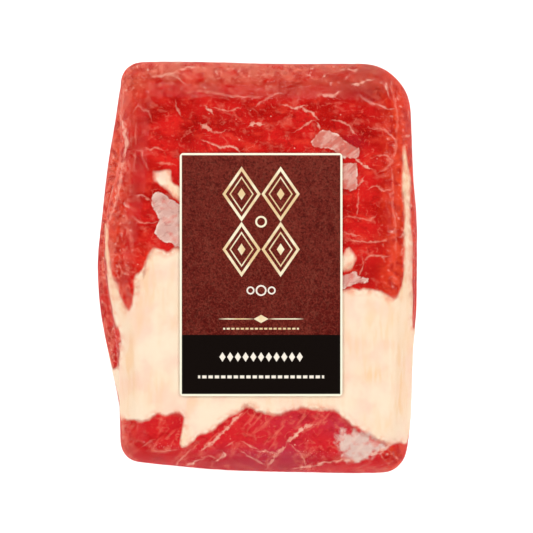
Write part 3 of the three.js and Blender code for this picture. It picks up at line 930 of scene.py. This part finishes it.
@dataclass(frozen=True)
class Mark:
    """A printed shape, mirrored about the label's middle line.

    at is its middle, across from that line and along from the label's middle, and reach is half its size.
    line is the width of its outline, or 0 where it is filled. every repeats it along a row out to row_end.
    All are in millimetres.
    """

    shape: MarkShape
    at: Place
    reach: Place
    line: float = 0.0
    every: float = 0.0
    row_end: float = 0.0

    def depth(self, canvas: Canvas, across: Feed, along: Feed) -> Feed:
        """Measures how far inside the shape a point lies.

        Args:
            canvas: the material's canvas.
            across: the distance from the label's middle line, in millimetres.
            along: the distance from the label's middle towards its top edge, in millimetres.

        Returns:
            The distance, in millimetres, above 0 inside.
        """
        if self.every:
            aside = canvas.add("Math", (across, self.every / 2), operation="PINGPONG")
        else:
            aside = canvas.add("Math", (across, self.at[0]), operation="SUBTRACT")
        above = canvas.add("Math", (along, self.at[1]), operation="SUBTRACT")
        from_middle = canvas.add("CombineXYZ", (aside, above))
        shares = canvas.add("VectorMath", (from_middle, (*self.reach, 1.0)), operation="DIVIDE")
        sizes = canvas.add("VectorMath", (shares,), operation="ABSOLUTE")
        share_across, share_along, _ = canvas.add("SeparateXYZ", (sizes,)).outputs
        slope = min(self.reach)
        if self.shape is MarkShape.RING:
            out = canvas.add("VectorMath", (sizes,), operation="LENGTH").outputs["Value"]
        elif self.shape is MarkShape.LOZENGE:
            out = canvas.add("Math", (share_across, share_along), operation="ADD")
            slope = self.reach[0] * self.reach[1] / math.hypot(*self.reach)
        else:
            out = canvas.add("Math", (share_across, share_along), operation="MAXIMUM")
        inside = canvas.add("Math", (1.0, out), operation="SUBTRACT")
        depth = canvas.add("Math", (inside, slope), operation="MULTIPLY")
        if self.line:
            size = canvas.add("Math", (depth,), operation="ABSOLUTE")
            depth = canvas.add("Math", (self.line / 2, size), operation="SUBTRACT")
        if self.every:
            before_end = canvas.add("Math", (self.row_end, across), operation="SUBTRACT")
            depth = canvas.add("Math", (depth, before_end), operation="MINIMUM")
        return depth


@dataclass(frozen=True)
class PrintedPaper:
    """Coated label paper, offset printed, with a satin sheen: a burgundy leather-like grain with fine creases
    above a near-black band, a cream margin, and ornament in gold and cream ink."""

    middle: Place
    burgundy: str = "#5b1b14"
    burgundy_low: str = "#480a06"
    speck_light: str = "#702b21"
    speck_dark: str = "#380704"
    crease: str = "#793e30"
    band: str = "#0a0402"
    margin: str = "#dad6c1"
    gold_light: str = "#d6cdb0"
    gold: str = "#c7ad81"
    cream: str = "#d4ccbf"
    reach: Place = (40.0, 59.75)
    margin_width: float = 1.0
    band_top: float = -29.6
    soft: float = 0.12
    roughness: float = 0.3
    specular: float = 0.14
    fibre: float = 0.7
    fibre_depth: float = 0.06
    gold_marks: tuple[Mark, ...] = (
        *(Mark(MarkShape.LOZENGE, (9.6, along), reach, line)
          for along in (39.6, 12.4)
          for reach, line in (((8.6, 12.4), 1.3), ((5.6, 8.2), 0.6), ((1.9, 2.9), 0.0))),
        Mark(MarkShape.RING, (0.0, 26.0), (2.4, 2.4), line=0.9),
        Mark(MarkShape.BAR, (12.2, -21.8), (6.6, 0.28)),
        Mark(MarkShape.LOZENGE, (0.0, -21.8), (3.6, 2.0)),
        Mark(MarkShape.BAR, (0.0, -26.6), (0.75, 0.42), every=2.3, row_end=18.6),
    )
    cream_marks: tuple[Mark, ...] = (
        Mark(MarkShape.RING, (0.0, -7.8), (2.3, 2.3), line=0.75),
        Mark(MarkShape.RING, (5.2, -7.8), (1.6, 1.6), line=0.7),
        Mark(MarkShape.LOZENGE, (0.0, -40.5), (1.5, 2.3), every=3.8, row_end=21.2),
        Mark(MarkShape.BAR, (0.0, -50.3), (1.05, 0.7), every=3.1, row_end=31.0),
    )

    def build(self) -> bpy.types.Material:
        """Builds the material and returns it."""
        canvas = new_canvas("paper, coated, offset printed")
        scaled = canvas.add("VectorMath", {0: canvas.place, "Scale": 1 / MM}, operation="SCALE")
        centred = canvas.add("VectorMath", (scaled, (*self.middle, 0.0)), operation="SUBTRACT")
        x, along, _ = canvas.add("SeparateXYZ", (centred,)).outputs
        across, size_along = (canvas.add("Math", (way,), operation="ABSOLUTE") for way in (x, along))

        colour = self.leather(canvas, along)
        below = canvas.add("MapRange", (along, self.band_top - 0.15, self.band_top + 0.15, 1.0, 0.0))
        colour = canvas.tint(colour, below, self.band)
        foil = canvas.tint(self.gold, canvas.patches(14, 0.4, 0.6), self.gold_light)
        for marks, ink in ((self.gold_marks, foil), (self.cream_marks, self.cream)):
            depths = [mark.depth(canvas, across, along) for mark in marks]
            deepest = depths[0]
            for depth in depths[1:]:
                deepest = canvas.add("Math", (deepest, depth), operation="MAXIMUM")
            colour = canvas.tint(colour, canvas.add("MapRange", (deepest, -0.1, 0.1)), ink)
        past = [
            canvas.add("Math", (size, reach - self.margin_width), operation="SUBTRACT")
            for size, reach in zip((across, size_along), self.reach)
        ]
        outside = canvas.add("Math", past, operation="MAXIMUM")
        colour = canvas.tint(colour, canvas.add("MapRange", (outside, -self.soft, self.soft)), self.margin)

        scale = per_mm(self.fibre)
        fibres = canvas.add("TexNoise", {"Vector": canvas.place, "Scale": scale, "Detail": 3.0})
        bump = canvas.add("Bump", {"Height": fibres, "Strength": 0.2, "Distance": self.fibre_depth * MM})
        return canvas.finish(canvas.add("BsdfPrincipled", {
            "Base Color": colour, "Roughness": self.roughness, "Specular IOR Level": self.specular,
            "Normal": bump}))

    def leather(self, canvas: Canvas, along: Feed) -> Feed:
        """Mixes the burgundy leather-like print.

        Args:
            canvas: the material's canvas.
            along: the distance from the label's middle towards its top edge, in millimetres.

        Returns:
            The colour.
        """
        high = canvas.add("MapRange", (along, self.band_top, self.reach[1]))
        colour = canvas.lay(
            self.burgundy_low,
            (high, self.burgundy),
            (canvas.patches(11, 0.4, 0.72, 5), self.speck_light, 0.3),
            (canvas.patches(0.8, 0.48, 0.62), self.speck_light, 0.6),
            (canvas.patches(1.1, 0.48, 0.64, 4), self.speck_dark, 0.75),
        )
        for size, width, turn, strength in (
            (2.4, 0.04, 0.9, 0.26), (2.0, 0.04, 1.4, 0.24), (2.8, 0.035, 2.0, 0.26), (2.2, 0.035, 0.2, 0.2)
        ):
            lines = canvas.wisps(size, width, 0.46, turn, 0.3, 1.5)
            colour = canvas.tint(colour, lines, self.crease, strength)
        return colour


@dataclass(frozen=True)
class StudioTable:
    """Opal acrylic sheet, cast, lit softly from below: an even pale surface on which shadows stay faint."""

    colour: str = "#f7f7f7"
    cloud: str = "#f9f9f9"
    roughness: float = 0.8
    glow: float = 0.3

    def build(self) -> bpy.types.Material:
        """Builds the material and returns it."""
        canvas = new_canvas("acrylic, opal, cast, lit from below")
        colour = canvas.tint(self.colour, canvas.patches(60, 0.3, 0.7), self.cloud)
        return canvas.finish(canvas.add("BsdfPrincipled", {
            "Base Color": colour, "Roughness": self.roughness, "Emission Color": linear(WHITE),
            "Emission Strength": self.glow}))


# The pieces


def smooth_copy(node: Node, name: str, levels: int) -> Thing:
    """Makes a smooth, finer copy of a CAD node, free of any parent.

    Args:
        node: the node to copy.
        name: the copy's name.
        levels: how many times its faces are divided.

    Returns:
        The copy.
    """
    choose(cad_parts[node.value])
    bpy.ops.object.duplicate(linked=False)
    copy = bpy.context.object
    copy.name = copy.data.name = name
    copy.parent = None
    copy.hide_render = False
    for key in [key for key in copy.keys() if key.startswith("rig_")]:
        del copy[key]

    bpy.ops.object.mode_set(mode="EDIT")
    bpy.ops.mesh.select_all(action="SELECT")
    bpy.ops.mesh.remove_doubles(threshold=MERGE_GAP)
    bpy.ops.mesh.select_mode(type="FACE")
    bpy.ops.mesh.select_all(action="DESELECT")
    form = bmesh.from_edit_mesh(copy.data)
    for face in form.faces:
        face.select = face.normal.z < FLAT_BOTTOM
    bmesh.update_edit_mesh(copy.data)
    bpy.ops.mesh.dissolve_faces()
    bpy.ops.mesh.select_all(action="SELECT")
    flattest = math.radians(60)
    bpy.ops.mesh.tris_convert_to_quads(face_threshold=flattest, shape_threshold=flattest)
    bpy.ops.object.mode_set(mode="OBJECT")
    apply_modifier(copy, "SUBSURF", levels=levels, render_levels=levels, use_limit_surface=False)
    bpy.ops.object.shade_smooth()
    return copy


@dataclass
class BeefBlock:
    """The block of meat under its film, with all lengths in millimetres."""

    inset: float = 0.22
    relief: float = 0.2
    relief_sizes: Place = (6.0, 2.5)
    steep_span: Place = (0.05, 0.3)
    seam_left: float = 36.0
    seam_right: float = 31.0
    seam_far: float = 34.0
    seam_near: float = 33.0
    seam_sway: float = 2.2
    seam_waves: int = 5
    seam_width: float = 1.0
    rim_height: float = 58.0
    side_start: float = 0.85
    vein_reach: float = 26.0
    vein_taper: float = 3.2
    vein_fade: float = 1.5
    white_width: float = 0.9
    half_width: float = 80.0
    half_length: float = 102.0
    near_line: float = -68.0

    def build(self) -> Thing:
        """Builds the block from the CAD node's form, dressed and painted.

        Returns:
            The finished piece.
        """
        block = smooth_copy(Node.MEAT, "beef_block", levels=2)
        points = points_of(block)
        normals = normals_of(block)
        coarse, fine = (np.abs(lumps(points, size, draw)) for draw, size in enumerate(self.relief_sizes, 1))
        uneven = 0.7 * coarse + 0.3 * fine
        points = points - normals * (self.inset + self.relief * uneven)[:, None]
        move_points(block, points)
        self.paint(block, points, normals)
        dress(block, RawBeef().build())
        return block

    def seam_at(self, points: np.ndarray) -> np.ndarray:
        """Finds the height of the seam of fat round the sides.

        Args:
            points: the mesh's points, in millimetres.

        Returns:
            The seam's height at each point's bearing, in millimetres.
        """
        across = points[:, 0] / self.half_width
        along = points[:, 1] / self.half_length
        share = across**2 / (across**2 + along**2 + 1e-9)
        side = np.where(across < 0, self.seam_left, self.seam_right)
        end = np.where(along < 0, self.seam_near, self.seam_far)
        sway = self.seam_sway * np.sin(self.seam_waves * np.arctan2(along, across))
        return share * side + (1 - share) * end + sway

    def paint(self, block: Thing, points: np.ndarray, normals: np.ndarray) -> None:
        """Stores where fat, skins, veins and tints lie, for the material to read.

        Args:
            block: the mesh's object.
            points: the mesh's points, in millimetres.
            normals: the outward direction at each of them.
        """
        out = points[:, :2] / (np.hypot(points[:, 0], points[:, 1])[:, None] + 1e-6)
        steep = 1 - ease(normals[:, 2], *self.steep_span)
        down = np.maximum(0, self.rim_height - points[:, 2]) * steep
        places = points[:, :2] + out * down[:, None]
        fat = np.max([depth_inside(outline, places) for outline in (FAT_BAND, *FAT_FLECKS)], axis=0)
        seam = self.seam_at(points)
        on_side = np.abs(points[:, 0]) / self.half_width > self.side_start
        on_side |= np.abs(points[:, 1]) / self.half_length > self.side_start
        swell = 2.6 * lumps(points, 24, 3) + 1.6 * lumps(points, 7, 5)
        line = self.seam_width + swell - np.abs(points[:, 2] - seam - 2 * lumps(points, 12, 6))
        below = np.where(on_side, seam - points[:, 2], FAR_OUTSIDE)
        store(block, "fat_depth", np.where(on_side, np.maximum(fat, line), fat))
        store(block, "near_depth", np.maximum(self.near_line - points[:, 1], below))
        store(block, "skins", self.skins_at(places))
        tints = [sum(spot.over(places) for spot in spots) for spots in (SHADES, BLUSHES, FAT_WARMTH)]
        store(block, "tints", np.stack(tints, axis=1))
        hidden = down > self.vein_reach
        for number, veins in enumerate(VeinSet):
            store(block, veins.value, self.trace(VEINS[number :: len(VeinSet)], places, hidden))
        # Where the painted shade along the fat's edge lies.
        store(block, "painted_edge_shadows", self.trace(PAINTED_EDGE_SHADOWS, places, hidden))

    def skins_at(self, places: np.ndarray) -> np.ndarray:
        """Finds how far inside the nearest sinew each point lies, how grey that is and how soft its edge.

        Args:
            places: one (x, y) row for each point, in millimetres.

        Returns:
            One row of these three for each point.
        """
        found = np.tile([FAR_OUTSIDE, 0.0, 0.3], (len(places), 1))
        for skin in SKINS:
            inside = depth_inside(skin.outline, places)
            closer = inside > found[:, 0]
            found[closer, 0] = inside[closer]
            found[closer, 1:] = skin.grey, skin.blur
        return found

    def trace(self, veins: list[Vein], places: np.ndarray, hidden: np.ndarray) -> np.ndarray:
        """Measures where each point lies beside the nearest of some veins.

        Args:
            veins: the veins.
            places: one (x, y) row for each point, in millimetres.
            hidden: True for points that no vein reaches.

        Returns:
            For each point its distance to the vein's right or left, the vein's half width there, and how
            thick the vein is, from 0 to 1.
        """
        nearest = np.full(len(places), np.inf)
        found = np.tile([-FAR_OUTSIDE, FAR_OUTSIDE, 0.0], (len(places), 1))
        for vein in veins:
            run = soften(vein.run, closed=False)
            steps = np.hypot(*np.diff(run, axis=0).T)
            ends = np.concatenate([[0], np.cumsum(steps)]) / steps.sum()
            thick = vein.white * min(1, vein.width / self.white_width)
            for i, start in enumerate(run[:-1]):
                side = run[i + 1] - start
                share, away = beside(places, start, side)
                distance = np.hypot(*away.T)
                sign = np.sign(side[0] * away[:, 1] - side[1] * away[:, 0])
                along = ends[i] + share * (ends[i + 1] - ends[i])
                taper = np.minimum(1, self.vein_taper * np.sqrt(np.clip(along * (1 - along), 0, 1)))
                reach = vein.width * (0.25 + 0.75 * taper) - 0.5 * np.maximum(0, distance - self.vein_fade)
                closer = distance < nearest
                nearest[closer] = distance[closer]
                found[closer, 0] = (sign * distance)[closer]
                found[closer, 1] = reach[closer]
                found[closer, 2] = thick
        found[hidden, 1] = FAR_OUTSIDE
        return found


@dataclass
class FilmSkin:
    """The clear film, drawn tight round the block, with its lengths in millimetres."""

    thickness: float = 0.06
    pucker: float = 0.05
    pucker_size: float = 5.0
    wall_span: Place = (0.3, 0.75)

    def build(self) -> Thing:
        """Builds the film as a thin closed shell.

        Returns:
            The finished piece.
        """
        film = smooth_copy(Node.MEAT, "film_skin", levels=1)
        points = points_of(film)
        dents = np.abs(lumps(points, self.pucker_size, 4)) * self.pucker
        normals = normals_of(film)
        move_points(film, points - normals * dents[:, None])
        store(film, "wall", 1 - ease(normals[:, 2], *self.wall_span))
        apply_modifier(film, "SOLIDIFY", thickness=self.thickness * MM, offset=-1.0)
        dress(film, ClearFilm().build())
        return film


@dataclass
class PaperLabel:
    """The printed label, which keeps the CAD node's form."""

    node: Node = Node.LABEL

    def build(self) -> Thing:
        """Dresses the CAD node and returns it."""
        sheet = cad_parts[self.node.value]
        low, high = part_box(self.node.value)
        middle = (low + high) / (2 * MM)
        dress(sheet, PrintedPaper((middle.x, middle.y)).build())
        return sheet


@dataclass
class Studio:
    """The floor, the lights and the camera, with all lengths in metres.

    boxes holds each soft box's name, its bearing in degrees from +Y towards -X, and its power in watts.
    """

    floor_size: float = 6.0
    light_distance: float = 1.8
    light_tilt: float = math.radians(52)
    box_size: float = 1.7
    boxes: tuple[tuple[str, float, float], ...] = (
        ("far", 0.0, 22.8), ("near", 180.0, 17.0), ("left", 90.0, 17.8), ("right", 270.0, 17.8)
    )
    glint_size: float = 0.09
    glint_power: float = 4.0
    glint_turns: tuple[float, ...] = (40.0, 130.0, 220.0, 310.0)
    world_strength: float = 0.1
    camera_height: float = 2.543
    camera_place: Place = (0.00455, 0.00034)
    view_width: float = 0.262
    view_end: float = 20.0

    def build(self) -> None:
        """Builds the floor, the lights, the world and the camera."""
        self.build_floor()
        for name, turn, power in self.boxes:
            self.build_light(f"soft_box_{name}", turn, power, self.box_size)
        for turn in self.glint_turns:
            self.build_light(f"spot_{turn:.0f}", turn, self.glint_power, self.glint_size)
        world = bpy.data.worlds.new("studio")
        bpy.context.scene.world = world
        world.use_nodes = True
        background = world.node_tree.nodes["Background"]
        background.inputs["Color"].default_value = linear(WHITE)
        background.inputs["Strength"].default_value = self.world_strength
        bpy.context.scene.view_settings.view_transform = "Standard"
        self.build_camera()

    def build_floor(self) -> None:
        """Builds the plain pale floor."""
        deselect()
        bpy.ops.mesh.primitive_plane_add(size=self.floor_size, location=(0, 0, 0))
        floor = bpy.context.object
        floor.name = "floor"
        dress(floor, StudioTable().build())

    def build_light(self, name: str, turn: float, power: float, size: float) -> None:
        """Builds one square light, tilted towards the block.

        Args:
            name: the light's name.
            turn: the bearing of its place from +Y, towards -X, in degrees.
            power: its power in watts.
            size: the length of its sides.
        """
        bearing = math.radians(turn)
        out = math.sin(self.light_tilt)
        way = Vector((-math.sin(bearing) * out, math.cos(bearing) * out, math.cos(self.light_tilt)))
        deselect()
        bpy.ops.object.light_add(type="AREA", location=way * self.light_distance)
        light = bpy.context.object
        light.name = name
        light.data.size = size
        light.data.energy = power
        light.rotation_euler = (-way).to_track_quat("-Z", "Y").to_euler()

    def build_camera(self) -> None:
        """Builds the camera, which looks straight down."""
        deselect()
        bpy.ops.object.camera_add(location=(*self.camera_place, self.camera_height), rotation=(0, 0, 0))
        camera = bpy.context.object
        camera.name = "camera"
        above_face = self.camera_height - CAD_BOX[1][2]
        camera.data.lens = camera.data.sensor_width * above_face / self.view_width
        camera.data.clip_end = self.view_end
        bpy.context.scene.camera = camera


def main() -> None:
    """Builds every piece in order and reports each one."""
    logging.basicConfig(level=logging.INFO, format="%(message)s")
    Studio().build()
    for title, piece in (("beef block", BeefBlock().build()), ("film skin", FilmSkin().build())):
        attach(piece, BODY)
        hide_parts(Node.MEAT.value)
        logging.info("%s: %d faces", title, len(piece.data.polygons))
    label = PaperLabel().build()
    logging.info("paper label: %d faces", len(label.data.polygons))


if __name__ == "__main__":
    main()
